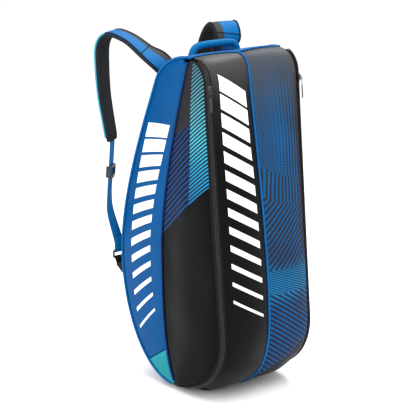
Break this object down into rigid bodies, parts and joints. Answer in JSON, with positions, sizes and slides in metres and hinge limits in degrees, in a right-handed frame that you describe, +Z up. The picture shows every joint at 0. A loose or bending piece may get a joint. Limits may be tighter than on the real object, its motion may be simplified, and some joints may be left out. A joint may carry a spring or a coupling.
{
  "type": "racket tournament bag",
  "caption": "Upright racket bag with compartments side by side, zipped bulging side covers, padded shoulder straps with adjusters and a grab handle.",
  "frame": {"origin": "centre of the flat underside of the base, where the bag stands on the floor", "axes": "+Z up the bag towards the grab handle, -Y the front with the two compartment fronts and +Y the back with the straps, -X the left side and +X the right side"},
  "size_m": [0.3443, 0.3893, 0.7904],
  "materials": {
    "blue": "royal-blue coated woven polyester over thin foam",
    "black": "black smooth PU-coated fabric, softly shiny",
    "print": "coated polyester printed with fine line, mesh and stripe patterns in blue on charcoal, black towards the foot of the door",
    "tape": "black woven zip tape and webbing",
    "piping": "bright blue fabric-covered cord",
    "teal": "teal coated polyester",
    "strap": "blue ripstop over foam, black spacer mesh on the inside",
    "webbing": "blue polyester webbing",
    "mesh": "black spacer mesh over foam",
    "lining": "grey lining cloth over thin foam",
    "board": "black plastic sheet",
    "plastic": "black moulded plastic",
    "metal": "black-painted cast zip slider"
  },
  "bodies": {
    "bag": {"back_panel": "blue", "top_panel": "blue", "base_panel": "black", "base_board": "board", "compartment_divider": "lining", "centre_piping": "piping", "strap_yoke": "strap", "back_pad": "mesh", "back_edge_loop": "tape", "left_front_panel": "black", "left_side_panel": "blue", "left_side_insert": "teal", "left_zip_tape": "tape", "left_rim_piping": "piping", "left_hinge_piping": "piping", "left_back_piping": "piping", "left_strap_tab": "tape", "right_front_panel": "print", "right_side_panel": "blue", "right_side_insert": "teal", "right_zip_tape": "tape", "right_rim_piping": "piping", "right_hinge_piping": "piping", "right_back_piping": "piping", "right_strap_tab": "tape"},
    "handle": {"grab_handle": "webbing"},
    "left_door": {"left_door_panel": "print", "left_door_tape": "tape"},
    "left_slider": {"left_zip_slider": "metal"},
    "left_puller": {"left_zip_puller": "plastic"},
    "left_strap": {"left_strap_pad": "strap", "left_strap_webbing": "webbing", "left_lower_ring": "plastic"},
    "left_adjuster": {"left_strap_adjuster": "plastic"},
    "right_door": {"right_door_panel": "print", "right_door_tape": "tape"},
    "right_slider": {"right_zip_slider": "metal"},
    "right_puller": {"right_zip_puller": "plastic"},
    "right_strap": {"right_strap_pad": "strap", "right_strap_webbing": "webbing", "right_lower_ring": "plastic"},
    "right_adjuster": {"right_strap_adjuster": "plastic"}
  },
  "joints": [
    {"name": "left_door_swing", "type": "hinge", "parent": "bag", "child": "left_door", "pos_m": [-0.144, 0.0355, 0.35], "axis": [0, 0, -1], "range_deg": [0, 70]},
    {"name": "left_zip_run", "type": "slide", "parent": "bag", "child": "left_slider", "axis": [0, -0.0874, -0.9962], "range_m": [0, 0.5]},
    {"name": "left_puller_flip", "type": "hinge", "parent": "left_slider", "child": "left_puller", "pos_m": [-0.13005, -0.1219, 0.68473], "axis": [-0.7071, 0.7044, -0.0618], "range_deg": [0, 120]},
    {"name": "left_strap_swing", "type": "hinge", "parent": "bag", "child": "left_strap", "pos_m": [-0.07, 0.085, 0.684], "axis": [0.1071, -0.2894, 0.9512], "range_deg": [-5, 14]},
    {"name": "left_adjuster_slide", "type": "slide", "parent": "left_strap", "child": "left_adjuster", "axis": [-0.0253, 0.0836, -0.9962], "range_m": [-0.045, 0.03]},
    {"name": "right_door_swing", "type": "hinge", "parent": "bag", "child": "right_door", "pos_m": [0.144, 0.0355, 0.35], "axis": [0, 0, 1], "range_deg": [0, 70]},
    {"name": "right_zip_run", "type": "slide", "parent": "bag", "child": "right_slider", "axis": [0, -0.0874, -0.9962], "range_m": [0, 0.5]},
    {"name": "right_puller_flip", "type": "hinge", "parent": "right_slider", "child": "right_puller", "pos_m": [0.13005, -0.1219, 0.68473], "axis": [-0.7071, -0.7044, 0.0618], "range_deg": [0, 120]},
    {"name": "right_strap_swing", "type": "hinge", "parent": "bag", "child": "right_strap", "pos_m": [0.07, 0.085, 0.684], "axis": [-0.1071, -0.2894, 0.9512], "range_deg": [-14, 8]},
    {"name": "right_adjuster_slide", "type": "slide", "parent": "right_strap", "child": "right_adjuster", "axis": [0.0383, 0.0893, -0.9953], "range_m": [-0.045, 0.03]},
    {"name": "handle_fold", "type": "hinge", "parent": "bag", "child": "handle", "pos_m": [0, 0.014, 0.725], "axis": [-1, 0, 0], "range_deg": [-8, 45], "stiffness_Nm_per_rad": 0.06}
  ]
}
